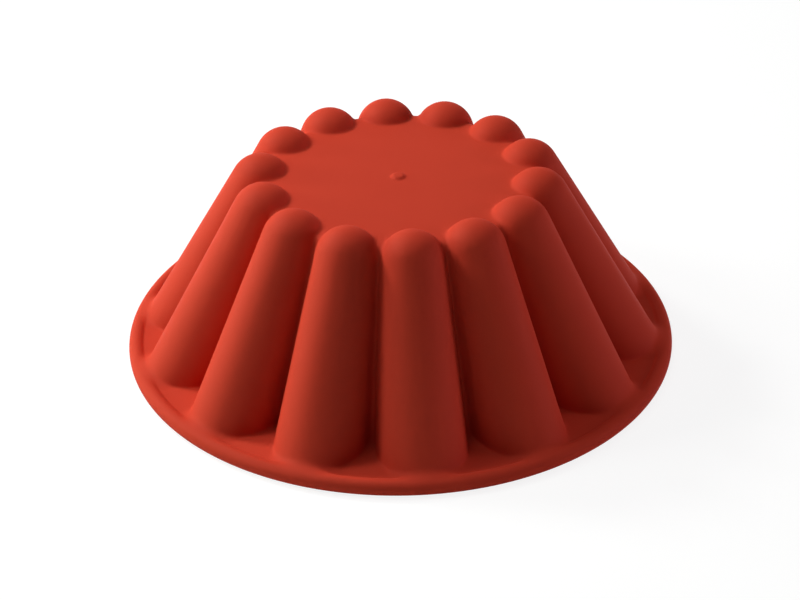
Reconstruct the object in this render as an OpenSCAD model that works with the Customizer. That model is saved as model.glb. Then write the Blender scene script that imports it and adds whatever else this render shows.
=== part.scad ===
// Fluted brioche mould in soft silicone, standing on its rim with the cavity facing down.
// The wall is one thickness throughout: the cavity is the outer form drawn in by that thickness,
// so each flute is hollow and shapes a rounded lobe of dough.
// Origin: centre of the rim, on the surface that the rim rests on. +Z is the axis of the mould.

/* [Rim] */
// Diameter across the outside of the rim
rim_d = 240; // [240:1:260]
// Radius of the rounded bead that edges the rim
bead_r = 3.4; // [3:0.1:4]
// Height of the bead's centre above its flat underside
bead_z = 3; // [2.6:0.1:3]
// Height of the flange's upper face, inside the bead
flange_z = 4.8; // [4.4:0.1:4.8]
// Diameter of the steel wire inside the bead
wire_d = 2.5; // [1.5:0.1:3]

/* [Fluted wall] */
// Number of flutes
flutes = 14; // [13:1:14]
// Thickness of the silicone
wall = 2.2; // [2.2:0.1:2.4]
// Radius of the round end of each flute
dome_r = 13.2; // [12:0.1:13.2]
// Radius of the circle that the round ends stand on
dome_ring_r = 59.6; // [59.6:0.1:61]
// Height of the centre of each round end
dome_z = 72.7; // [70:0.1:75]
// Radius of each flute at its foot
foot_r = 19; // [17:0.1:19]
// Radius of the circle that the feet stand on
foot_ring_r = 95.6; // [95.4:0.1:95.8]

/* [Core] */
// Height of the flat base disc
disc_z = 79.4; // [77:0.1:81]
// Radius of the base disc, at its sharp edge
disc_r = 60.4; // [59:0.1:62]
// Radius of the core at the foot of the valleys
valley_foot_r = 89.9; // [88:0.1:91]
// Width of the bevel on the disc's edge
edge_bevel = 2; // [1:0.1:2.4]
// Radius of the moulding gate's stub at the middle of the disc
gate_r = 2.7; // [2:0.1:4]
// Height of the gate's stub
gate_h = 1; // [0.6:0.1:1.4]

/* [Hidden] */
silicone_red = [0.77, 0.25, 0.17];
steel_grey = [0.62, 0.63, 0.65];

bead_ring_r = rim_d / 2 - bead_r;
flange_under_z = flange_z - wall;
// The flange starts this far inside the core, so that the two are one solid
flange_lap = 10;

// A flute is a cone with a ball on its end. Its axis leans in from the foot to the ball.
flute_len = norm([foot_ring_r - dome_ring_r, dome_z]);
flute_lean = atan2(foot_ring_r - dome_ring_r, dome_z);
// The cone meets the ball just below the ball's widest circle, which is wider by this
ball_lap = 0.1;
flute_taper = atan2(foot_r - dome_r + ball_lap, flute_len);
// The cone runs on below the foot, so that it reaches through the flange
foot_run = 14;

core_lean = atan2(valley_foot_r - disc_r, disc_z);
core_run = 4;
// Along the bevelled edge of the disc, radius and height add up to this
bevel_sum = valley_foot_r - (disc_z - edge_bevel) * tan(core_lean) + disc_z - edge_bevel;

gate_bevel = 0.5;

// One flute, drawn in by a distance
module flute(inset) {
    cone_inset = inset / cos(flute_taper);
    translate([foot_ring_r, 0, 0])
        rotate([0, -flute_lean, 0]) {
            translate([0, 0, -foot_run])
                cylinder(
                    h = foot_run + flute_len,
                    r1 = foot_r + foot_run * tan(flute_taper) - cone_inset,
                    r2 = dome_r - ball_lap - cone_inset,
                    $fn = 96
                );
            translate([0, 0, flute_len]) sphere(dome_r - inset, $fn = 96);
        }
}

// A flute with nothing below the flange's underside
module flute_on_flange() {
    block = 2 * foot_ring_r;
    difference() {
        flute(0);
        translate([0, -block / 2, flange_under_z - block]) cube(block);
    }
}

// One flute faces straight forwards, along -Y, and the rest follow at equal steps
module around_the_mould() {
    for (i = [0 : flutes - 1])
        rotate([0, 0, -90 + i * 360 / flutes]) children();
}

// Half outline of the core: a cone with a flat top and a bevelled edge, drawn in by a distance
module core_outline(inset, low_z) {
    side_x = valley_foot_r - inset / cos(core_lean);
    top_z = disc_z - inset;
    inset_sum = bevel_sum - inset * sqrt(2);
    bevel_z = (inset_sum - side_x) / (1 - tan(core_lean));
    polygon([
        [0, low_z],
        [side_x - low_z * tan(core_lean), low_z],
        [side_x - bevel_z * tan(core_lean), bevel_z],
        [inset_sum - top_z, top_z],
        [0, top_z],
    ]);
}

module flange_outline() {
    inner_r = valley_foot_r - flange_lap;
    translate([inner_r, flange_under_z]) square([bead_ring_r - inner_r, wall]);
}

// Round bead with a flat underside that the mould rests on
module bead_outline() {
    intersection() {
        translate([bead_ring_r, bead_z]) circle(bead_r, $fn = 64);
        translate([bead_ring_r - bead_r, 0]) square([2 * bead_r, bead_z + bead_r]);
    }
}

module gate_outline() {
    top_z = disc_z + gate_h;
    polygon([
        [0, disc_z - wall / 2],
        [gate_r, disc_z - wall / 2],
        [gate_r, top_z - gate_bevel],
        [gate_r - gate_bevel, top_z],
        [0, top_z],
    ]);
}

module outer_form() {
    rotate_extrude($fn = 180) {
        core_outline(0, flange_under_z);
        flange_outline();
        bead_outline();
        gate_outline();
    }
    around_the_mould() flute_on_flange();
}

// The space inside, open at the rim, is the core and the flutes drawn in by the wall's thickness
module core_space() {
    rotate_extrude($fn = 180) core_outline(wall, -core_run);
}

module flute_spaces() {
    around_the_mould() flute(wall);
}

module mould_shell() {
    color(silicone_red)
        difference() {
            outer_form();
            flute_spaces();
            core_space();
            rim_ring();
        }
}

// Steel wire closed into a ring, which the silicone is moulded around
module rim_ring() {
    color(steel_grey)
        rotate_extrude($fn = 180)
            translate([bead_ring_r, bead_z]) circle(d = wire_d, $fn = 48);
}

mould_shell();
rim_ring();
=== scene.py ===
"""Fluted silicone brioche mould, upside down on its rim. Metres, +Z up, in the frame of the solids."""
import math

import bpy
import numpy as np
from mathutils import Matrix, Vector


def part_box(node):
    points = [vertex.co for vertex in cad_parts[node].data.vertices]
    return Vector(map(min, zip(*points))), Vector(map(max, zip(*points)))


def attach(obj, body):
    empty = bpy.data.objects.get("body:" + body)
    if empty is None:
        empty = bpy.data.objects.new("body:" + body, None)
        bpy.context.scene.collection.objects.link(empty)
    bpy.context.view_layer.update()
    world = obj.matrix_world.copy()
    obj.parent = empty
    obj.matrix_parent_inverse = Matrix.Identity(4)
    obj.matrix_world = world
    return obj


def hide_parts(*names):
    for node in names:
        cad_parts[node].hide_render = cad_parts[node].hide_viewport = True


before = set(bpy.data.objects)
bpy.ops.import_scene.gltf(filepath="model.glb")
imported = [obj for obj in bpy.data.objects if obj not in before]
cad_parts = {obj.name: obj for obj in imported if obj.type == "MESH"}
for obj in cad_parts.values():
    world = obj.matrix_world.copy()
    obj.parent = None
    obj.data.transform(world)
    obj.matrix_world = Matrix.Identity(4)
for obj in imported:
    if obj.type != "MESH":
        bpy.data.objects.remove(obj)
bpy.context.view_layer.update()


def add_object(name, data):
    made = bpy.data.objects.new(name, data)
    bpy.context.scene.collection.objects.link(made)
    return made


# Sizes of the rim, read off the solids
shell_high = Vector(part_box("mould_shell")[1])
wire_low, wire_high = (Vector(corner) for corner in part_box("rim_ring"))
RIM_R = shell_high.x
WIRE_R = (wire_high.z - wire_low.z) / 2
BEAD_RING_R = wire_high.x - WIRE_R
BEAD_R = RIM_R - BEAD_RING_R
BEAD_Z = (wire_high.z + wire_low.z) / 2

# Sizes of the moulding. A name that ends in _R is a radius, and one that ends in _Z a height.
FLUTES = 14
WALL = 0.0022
FLANGE_Z = 0.0048
FLANGE_UNDER_Z = FLANGE_Z - WALL
DOME_R = 0.0132
DOME_RING_R = 0.0596
DOME_Z = shell_high.z - DOME_R
FOOT_R = 0.0190
FOOT_RING_R = 0.0956
DISC_Z = 0.0794
DISC_R = 0.0604
VALLEY_FOOT_R = 0.0899
GATE_R = 0.0027
GATE_H = 0.0010

# How far each blend between two surfaces reaches
VALLEY_BLEND_AT_DISC = 0.0010
VALLEY_BLEND_AT_FOOT = 0.0048
FOOT_BLEND = 0.0010
NOSE_BLEND = 0.0046
# Between these radii the blend at a flute's foot grows, so that its nose runs into the bead
NOSE_FROM_R, NOSE_TO_R = 0.1080, 0.1130
STEP_BLEND = 0.0005
DISC_EDGE_BLEND = 0.0036
LIP_BLEND = 0.0009
GATE_BLEND = 0.0013

# Half of one flute's share of the circle
HALF_FLUTE = math.pi / FLUTES
LEAN = Vector((DOME_RING_R - FOOT_RING_R, DOME_Z))
TAPER = (FOOT_R - DOME_R) / LEAN.length
# A flute's cone runs on this far below its foot
FOOT_RUN = 0.030
FOOT_END = Vector((FOOT_RING_R, 0)) - LEAN.normalized() * FOOT_RUN
FOOT_END_R = FOOT_R + TAPER * FOOT_RUN

# The mesh: angles across half a flute, closer together near the valley, and rows along the outline
ANGLES = 26
ANGLE_CROWDING = 1.35
ROWS = 132
# The rows are shared out as if each took up this much length, or this much turning
ROW_LENGTH = 0.0040
ROW_TURN = math.radians(8)
# Turning is averaged over this many steps of the outline
TURN_WINDOW = 15

# The outline is followed in steps, and each step is pulled back onto the surface a few times
TRACE_STEP = 0.00025
TRACE_PULLS = 3
SLOPE_NUDGE = 2e-6
# The square of a slope is never taken as less than this, so that no pull overshoots
SHALLOWEST2 = 0.05
# Keeps a division from meeting zero
SMALLEST = 1e-9
# A shorter step than this is an outline that has ended and waits for the others
STILL = TRACE_STEP / 100
# Neighbouring shares of the wall are welded where they are closer than this
WELD_DISTANCE = 1e-6


def smooth_min(a, b, reach):
    near = np.maximum(reach - np.abs(a - b), 0) / reach
    return np.minimum(a, b) - near * near * reach / 4


def smooth_max(a, b, reach):
    return -smooth_min(-a, -b, reach)


def flute_distance(r, angle, z):
    """Distance from a cone that ends in a ball, and whose axis leans in from its foot to the ball.
    Its lower end is under the floor and is left open."""
    axis_r, axis_z = DOME_RING_R - FOOT_END.x, DOME_Z - FOOT_END.y
    length2 = axis_r ** 2 + axis_z ** 2
    narrowing = FOOT_END_R - DOME_R
    out, side, up = r * np.cos(angle) - FOOT_END.x, r * np.sin(angle), z - FOOT_END.y
    along = out * axis_r + up * axis_z
    across2 = ((out * length2 - axis_r * along) ** 2 + (side * length2) ** 2
               + (up * length2 - axis_z * along) ** 2)
    past = along - length2
    slant2 = length2 - narrowing ** 2
    at_dome = np.sqrt(across2 + past ** 2 * length2) / length2 - DOME_R
    on_cone = (np.sqrt(across2 * slant2 / length2) + along * narrowing) / length2 - FOOT_END_R
    beyond = np.sign(past) * slant2 * past ** 2 * length2 > narrowing ** 2 * across2
    return np.where(beyond, at_dome, on_cone)


def core_distance(r, z):
    """Distance from the core: a cone with the flat base disc on top, whose edge is rounded"""
    lean = math.atan2(VALLEY_FOOT_R - DISC_R, DISC_Z)
    side = (r - VALLEY_FOOT_R) * math.cos(lean) + z * math.sin(lean)
    return smooth_max(side, z - DISC_Z, DISC_EDGE_BLEND)


def fluted_distance(r, angle, z):
    """Core and flutes, with the valleys between them filled to a round bottom"""
    depth = np.clip((DISC_Z - z) / DISC_Z, 0, 1)
    blend = VALLEY_BLEND_AT_DISC + (VALLEY_BLEND_AT_FOOT - VALLEY_BLEND_AT_DISC) * depth
    this_flute = flute_distance(r, angle, z)
    next_flute = flute_distance(r, 2 * HALF_FLUTE - angle, z)
    flutes = smooth_min(this_flute, next_flute, blend / 2)
    return smooth_min(flutes, core_distance(r, z), blend)


def rim_distance(r, z):
    """Flange and round bead. The bead has a flat underside that the mould rests on."""
    flange = np.maximum(np.maximum(z - FLANGE_Z, FLANGE_UNDER_Z - z), r - BEAD_RING_R)
    bead = np.hypot(r - BEAD_RING_R, z - BEAD_Z) - BEAD_R
    return smooth_min(flange, smooth_max(bead, -z, STEP_BLEND), STEP_BLEND)


def wall_distance(r, angle, z):
    """The whole moulding: outer form less the same form drawn in by the wall's thickness"""
    fluted = fluted_distance(r, angle, z)
    above = smooth_max(fluted, FLANGE_UNDER_Z - z, STEP_BLEND)
    rim = rim_distance(r, z)
    nose = np.clip((r - NOSE_FROM_R) / (NOSE_TO_R - NOSE_FROM_R), 0, 1)
    above_flange = np.clip((z - FLANGE_UNDER_Z) / WALL, 0, 1)
    foot_blend = STEP_BLEND + (FOOT_BLEND - STEP_BLEND + (NOSE_BLEND - FOOT_BLEND) * nose) * above_flange
    outer = smooth_min(above, rim, foot_blend)
    gate = smooth_max(r - GATE_R, z - DISC_Z - GATE_H, GATE_BLEND)
    outer = smooth_min(outer, gate, GATE_BLEND)
    return smooth_max(outer, -(fluted + WALL), LIP_BLEND)


def slope_at(r, angle, z):
    """How fast the distance from the wall grows outwards and upwards"""
    nudge = SLOPE_NUDGE
    across = wall_distance(np.abs(r + nudge), angle, z) - wall_distance(np.abs(r - nudge), angle, z)
    upward = wall_distance(np.abs(r), angle, z + nudge) - wall_distance(np.abs(r), angle, z - nudge)
    return across / (2 * nudge), upward / (2 * nudge)


def trace_outlines(angles):
    """Follows the wall's outline in the upright plane at each angle, from the top of the axis,
    out over the rim and back up inside to the axis. Returns points as [step, r or z, angle]."""
    r, z = np.zeros(len(angles)), np.full(len(angles), DISC_Z + GATE_H)
    head_r, head_z = np.ones(len(angles)), np.zeros(len(angles))
    ended = np.zeros(len(angles), bool)
    points = [np.stack([r, z])]
    while not ended.all():
        new_r, new_z = r + head_r * TRACE_STEP, z + head_z * TRACE_STEP
        for _ in range(TRACE_PULLS):
            miss = wall_distance(np.abs(new_r), angles, new_z)
            slope_r, slope_z = slope_at(new_r, angles, new_z)
            steep2 = np.maximum(slope_r ** 2 + slope_z ** 2, SHALLOWEST2)
            new_r, new_z = new_r - miss * slope_r / steep2, new_z - miss * slope_z / steep2
        size = np.maximum(np.hypot(slope_r, slope_z), SMALLEST)
        onward = np.sign(slope_z * head_r - slope_r * head_z)
        ended |= (new_r < 0) & (new_z < DISC_Z)
        r, z = np.where(ended, r, new_r), np.where(ended, z, new_z)
        head_r = np.where(ended, head_r, onward * slope_z / size)
        head_z = np.where(ended, head_z, -onward * slope_r / size)
        points.append(np.stack([r, z]))
    return np.array(points)


def place_rows(path):
    """Spreads the rows along one outline, closer together where it turns"""
    step = np.diff(path, axis=0)
    length = np.hypot(step[:, 0], step[:, 1])
    moved = length > STILL
    path = path[np.concatenate([[True], moved])]
    step, length = step[moved], length[moved]
    heading = np.unwrap(np.arctan2(step[:, 1], step[:, 0]))
    turn = np.abs(np.diff(heading, prepend=heading[0]))
    spread = np.hanning(TURN_WINDOW)
    turn = np.convolve(turn, spread / spread.sum(), mode="same")
    weight = np.concatenate([[0], np.cumsum(length / ROW_LENGTH + turn / ROW_TURN)])
    wanted = np.linspace(0, weight[-1], ROWS)
    return np.stack([np.interp(wanted, weight, path[:, k]) for k in (0, 1)])


def flute_share_mesh():
    """The wall across one flute, from the middle of one valley to the middle of the next"""
    crowd = 1 - (1 - np.linspace(0, 1, ANGLES)) ** ANGLE_CROWDING
    angles = HALF_FLUTE * crowd
    paths = trace_outlines(angles)
    half = [place_rows(paths[:, :, k]) for k in range(ANGLES)]
    # The other half mirrors this one, and the two share the column in the middle
    columns = [(-a, rows) for a, rows in zip(angles[:0:-1], half[:0:-1])] + list(zip(angles, half))
    ring_r = np.array([rows[0] for _, rows in columns])
    ring_z = np.array([rows[1] for _, rows in columns])
    # The first and the last row of every column are one point each, on the axis
    ring_r[:, [0, -1]] = 0
    ring_z[:, 0], ring_z[:, -1] = ring_z[:, 0].mean(), ring_z[:, -1].mean()
    turn = np.array([a for a, _ in columns])[:, None] - math.pi / 2
    points = np.stack([ring_r * np.cos(turn), ring_r * np.sin(turn), ring_z], -1)
    inner = points[:, 1:-1].reshape(-1, 3)
    top, bottom = len(inner), len(inner) + 1
    verts = np.vstack([inner, points[0, 0], points[0, -1]])
    rows = ROWS - 2
    faces = []
    for c in range(len(columns) - 1):
        a, b = c * rows, (c + 1) * rows
        faces.append((top, a, b))
        faces += [(a + k, a + k + 1, b + k + 1, b + k) for k in range(rows - 1)]
        faces.append((a + rows - 1, bottom, b + rows - 1))
    mesh = bpy.data.meshes.new("flute_share")
    mesh.from_pydata(verts.tolist(), [], faces)
    mesh.shade_smooth()
    return mesh


class Field:
    """One output socket of a node. An expression on the numbers of such sockets adds its Math nodes."""

    def __init__(self, wiring, socket):
        self.wiring, self.socket = wiring, socket

    def math(self, operation, first, second):
        values = {0: first, 1: second}
        return self.wiring.node("ShaderNodeMath", {"operation": operation}, values, "Value")

    def __add__(self, other):
        return self.math("ADD", self, other)

    def __mul__(self, other):
        return self.math("MULTIPLY", self, other)

    def __truediv__(self, other):
        return self.math("DIVIDE", self, other)

    def __rtruediv__(self, other):
        return self.math("DIVIDE", other, self)

    __radd__, __rmul__ = __add__, __mul__


class Wiring:
    """A tree of nodes being put together"""

    def __init__(self, tree):
        self.tree = tree

    def node(self, kind, settings, values, output):
        """Adds a node: its settings first, then the values or links of its sockets"""
        made = self.tree.nodes.new(kind)
        for key, value in settings.items():
            setattr(made, key, value)
        for key, value in values.items():
            self.feed(made.inputs[key], value)
        return Field(self, made.outputs[output])

    def feed(self, socket, value):
        if isinstance(value, Field):
            self.tree.links.new(value.socket, socket)
        else:
            socket.default_value = value

    def mix_shaders(self, share, first, second):
        return self.node("ShaderNodeMixShader", {}, {0: share, 1: first, 2: second}, "Shader")

    def seen_directly(self):
        """1 for what the camera sees, straight, in a gloss or through clear walls, and 0 for the rest"""
        camera, gloss, clear = (self.node("ShaderNodeLightPath", {}, {}, ray) for ray in (
            "Is Camera Ray", "Is Glossy Ray", "Is Transmission Ray"))
        either = camera.math("MAXIMUM", camera, gloss)
        return either.math("MAXIMUM", either, clear)


class Finish(Wiring):
    """A material being put together: its nodes and its surface shader"""

    def __init__(self, name):
        self.material = bpy.data.materials.new(name)
        self.material.use_nodes = True
        super().__init__(self.material.node_tree)
        self.shader = self.tree.nodes["Principled BSDF"]

    def set(self, values):
        for socket, value in values.items():
            self.feed(self.shader.inputs[socket], value)

    def noise(self, scale, detail):
        place = self.node("ShaderNodeTexCoord", {}, {}, "Object")
        values = {"Vector": place, "Scale": scale, "Detail": detail}
        return self.node("ShaderNodeTexNoise", {}, values, "Fac")

    def blend(self, share, low, high):
        return self.node("ShaderNodeMix", {"data_type": "RGBA"}, {0: share, 6: low, 7: high}, 2)

    def relief(self, height, depth):
        values = {"Height": height, "Distance": depth, "Strength": 1.0}
        self.set({"Normal": self.node("ShaderNodeBump", {}, values, "Normal")})


def flute_pattern():
    """Geometry Nodes tree that repeats one share of the wall round the mould's axis"""
    tree = bpy.data.node_groups.new("Flutes round the mould", "GeometryNodeTree")
    sockets = {}
    for name, kind in (("Share", "NodeSocketGeometry"), ("Flutes", "NodeSocketInt"),
                       ("Weld Distance", "NodeSocketFloat"), ("Finish", "NodeSocketMaterial")):
        sockets[name] = tree.interface.new_socket(name, in_out="INPUT", socket_type=kind).identifier
    tree.interface.new_socket("Mould", in_out="OUTPUT", socket_type="NodeSocketGeometry")
    wiring = Wiring(tree)
    given = {name: wiring.node("NodeGroupInput", {}, {}, name) for name in sockets}
    seats = wiring.node("GeometryNodePoints", {}, {"Count": given["Flutes"]}, "Points")
    turn = wiring.node("GeometryNodeInputIndex", {}, {}, "Index") * (2 * math.pi / given["Flutes"])
    around = wiring.node("ShaderNodeCombineXYZ", {}, {"Z": turn}, "Vector")
    spin = wiring.node("FunctionNodeEulerToRotation", {}, {"Euler": around}, "Rotation")
    repeats = {"Points": seats, "Instance": given["Share"], "Rotation": spin}
    wall = wiring.node("GeometryNodeInstanceOnPoints", {}, repeats, "Instances")
    wall = wiring.node("GeometryNodeRealizeInstances", {}, {"Geometry": wall}, "Geometry")
    weld = {"Geometry": wall, "Distance": given["Weld Distance"]}
    wall = wiring.node("GeometryNodeMergeByDistance", {}, weld, "Geometry")
    finish = {"Geometry": wall, "Material": given["Finish"]}
    wall = wiring.node("GeometryNodeSetMaterial", {}, finish, "Geometry")
    wiring.feed(tree.nodes.new("NodeGroupOutput").inputs["Mould"], wall)
    return tree, sockets


def make_moulding(material):
    """The silicone moulding as one plain mesh"""
    share = add_object("flute_share", flute_share_mesh())
    tree, sockets = flute_pattern()
    pattern = share.modifiers.new("Flutes", "NODES")
    pattern.node_group = tree
    pattern[sockets["Flutes"]] = FLUTES
    pattern[sockets["Weld Distance"]] = WELD_DISTANCE
    pattern[sockets["Finish"]] = material
    evaluated = share.evaluated_get(bpy.context.evaluated_depsgraph_get())
    mesh = bpy.data.meshes.new_from_object(evaluated)
    bpy.data.objects.remove(share)
    mesh.name = "silicone_moulding"
    mesh.shade_smooth()
    return add_object("silicone_moulding", mesh)


DEEP_TERRACOTTA = (0.577, 0.0485, 0.0235, 1)
LIGHT_TERRACOTTA = (0.623, 0.0545, 0.0275, 1)


def matte_silicone():
    """Terracotta silicone: a soft, slightly uneven matte skin"""
    finish = Finish("Terracotta silicone")
    clouds = finish.noise(scale=38.0, detail=3.0)
    waves = finish.noise(scale=34.0, detail=1.0)
    coarse_grain = finish.noise(scale=900.0, detail=2.0)
    grain = finish.noise(scale=2600.0, detail=2.0)
    finish.set({
        "Base Color": finish.blend(clouds, DEEP_TERRACOTTA, LIGHT_TERRACOTTA),
        "Roughness": 0.56 + 0.10 * clouds + 0.06 * grain,
        "Specular IOR Level": 0.05,
    })
    # The grain is at most 0.04 mm deep, and the skin's soft waves are six times as deep
    finish.relief(grain + 0.5 * coarse_grain + 6.0 * waves, depth=0.00004)
    return finish.material


DARK_STEEL = (0.50, 0.51, 0.53, 1)
BRIGHT_STEEL = (0.62, 0.63, 0.65, 1)


def drawn_steel():
    """Bright drawn wire with a fine grain"""
    finish = Finish("Drawn steel wire")
    grain = finish.noise(scale=1500.0, detail=2.0)
    finish.set({
        "Base Color": finish.blend(grain, DARK_STEEL, BRIGHT_STEEL),
        "Roughness": 0.24 + 0.16 * grain,
        "Metallic": 1.0,
    })
    finish.relief(grain, depth=0.00002)
    return finish.material


# The camera stands this far off the middle of a flute, round the axis
CAMERA_YAW = math.radians(-4.95)
CAMERA_ELEVATION = math.radians(32.75)
CAMERA_DISTANCE = 0.8822
CAMERA_TILT = math.radians(0.98)
CAMERA_ROLL = math.radians(-0.79)
FOCAL_PIXELS = 1978.35
FRAME_PIXELS = 800
SENSOR_MM = 36.0


def make_camera():
    data = bpy.data.cameras.new("Camera")
    data.sensor_width = SENSOR_MM
    data.lens = FOCAL_PIXELS * SENSOR_MM / FRAME_PIXELS
    camera = add_object("Camera", data)
    around = Matrix.Rotation(CAMERA_YAW, 4, "Z")
    stand = Matrix.Rotation(math.pi / 2 - CAMERA_ELEVATION, 4, "X")
    back = Matrix.Translation((0, 0, CAMERA_DISTANCE))
    aim = Matrix.Rotation(CAMERA_TILT, 4, "X") @ Matrix.Rotation(CAMERA_ROLL, 4, "Z")
    camera.matrix_world = around @ stand @ back @ aim
    bpy.context.scene.camera = camera


# Tints of the lamps. As in the photograph, green turns the lit side of the terracotta a little more
# orange, and pink keeps the far side less so.
PLAIN = (1, 1, 1)
KEY_TINT = (0.96, 1.0, 0.96)
LOW_TINT = (0.77, 1.0, 0.78)
FILL_TINT = (1.0, 0.79, 0.96)
# Strength of the white room that lights the mould from all sides
ROOM_STRENGTH = 0.05


def area_lamp(name, azimuth, elevation, distance, size, power, tint):
    """A square lamp that looks at the middle of the mould. Angles are in degrees, and azimuth 0 is +X."""
    target = Vector((0, 0, DISC_Z / 2))
    a, e = math.radians(azimuth), math.radians(elevation)
    offset = Vector((math.cos(e) * math.cos(a), math.cos(e) * math.sin(a), math.sin(e)))
    data = bpy.data.lights.new(name, "AREA")
    data.size, data.energy, data.color = size, power, tint
    lamp = add_object(name, data)
    lamp.location = target + offset * distance
    lamp.rotation_euler = offset.to_track_quat("Z", "Y").to_euler()


def make_lights():
    """Five lamps and a dim white room, which the camera sees as plain white"""
    area_lamp("Key", azimuth=141, elevation=40, distance=0.95, size=0.16, power=4.8, tint=KEY_TINT)
    area_lamp("Second key", azimuth=170, elevation=40, distance=0.95, size=0.2, power=3.05, tint=KEY_TINT)
    area_lamp("Low", azimuth=158, elevation=9, distance=1.5, size=0.3, power=7.2, tint=LOW_TINT)
    area_lamp("Top", azimuth=140, elevation=70, distance=1.5, size=0.8, power=3.9, tint=PLAIN)
    area_lamp("Fill", azimuth=353, elevation=12, distance=1.8, size=0.5, power=6.6, tint=FILL_TINT)
    world = bpy.data.worlds.new("Studio")
    world.use_nodes = True
    bpy.context.scene.world = world
    studio = Wiring(world.node_tree)
    studio.tree.nodes.remove(studio.tree.nodes["Background"])
    white = (1, 1, 1, 1)
    room, backdrop = (
        studio.node("ShaderNodeBackground", {}, {"Color": white, "Strength": strength}, "Background")
        for strength in (ROOM_STRENGTH, 1.0))
    surface = studio.mix_shaders(studio.seen_directly(), room, backdrop)
    studio.feed(studio.tree.nodes["World Output"].inputs["Surface"], surface)


FLOOR_HALF = 3.0
FLOOR_GREY = (0.86, 0.86, 0.86, 1)
# How much of the floor that the camera sees is its own glow, and how bright that is, where 1 is white
FLOOR_GLOW_SHARE = 0.75
FLOOR_GLOW = 1.14


def make_floor():
    """A pale sweep under the mould. The camera sees it mostly as its own glow, so that it stays white,
    and for the rest as a lit surface, which takes the mould's shadow."""
    mesh = bpy.data.meshes.new("floor")
    half = FLOOR_HALF
    corners = [(-half, -half, 0), (half, -half, 0), (half, half, 0), (-half, half, 0)]
    mesh.from_pydata(corners, [], [(0, 1, 2, 3)])
    floor = add_object("floor", mesh)
    finish = Finish("Pale sweep")
    finish.set({"Base Color": FLOOR_GREY, "Roughness": 0.9})
    lit = Field(finish, finish.shader.outputs["BSDF"])
    glow = finish.node("ShaderNodeEmission", {}, {"Strength": FLOOR_GLOW}, "Emission")
    surface = finish.mix_shaders(finish.seen_directly() * FLOOR_GLOW_SHARE, lit, glow)
    finish.feed(finish.tree.nodes["Material Output"].inputs["Surface"], surface)
    mesh.materials.append(finish.material)


make_camera()
make_lights()
make_floor()

moulding = make_moulding(matte_silicone())
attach(moulding, "root")
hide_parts("mould_shell")

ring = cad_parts["rim_ring"]
ring.data.materials.clear()
ring.data.materials.append(drawn_steel())

bpy.context.scene.view_settings.view_transform = "Standard"
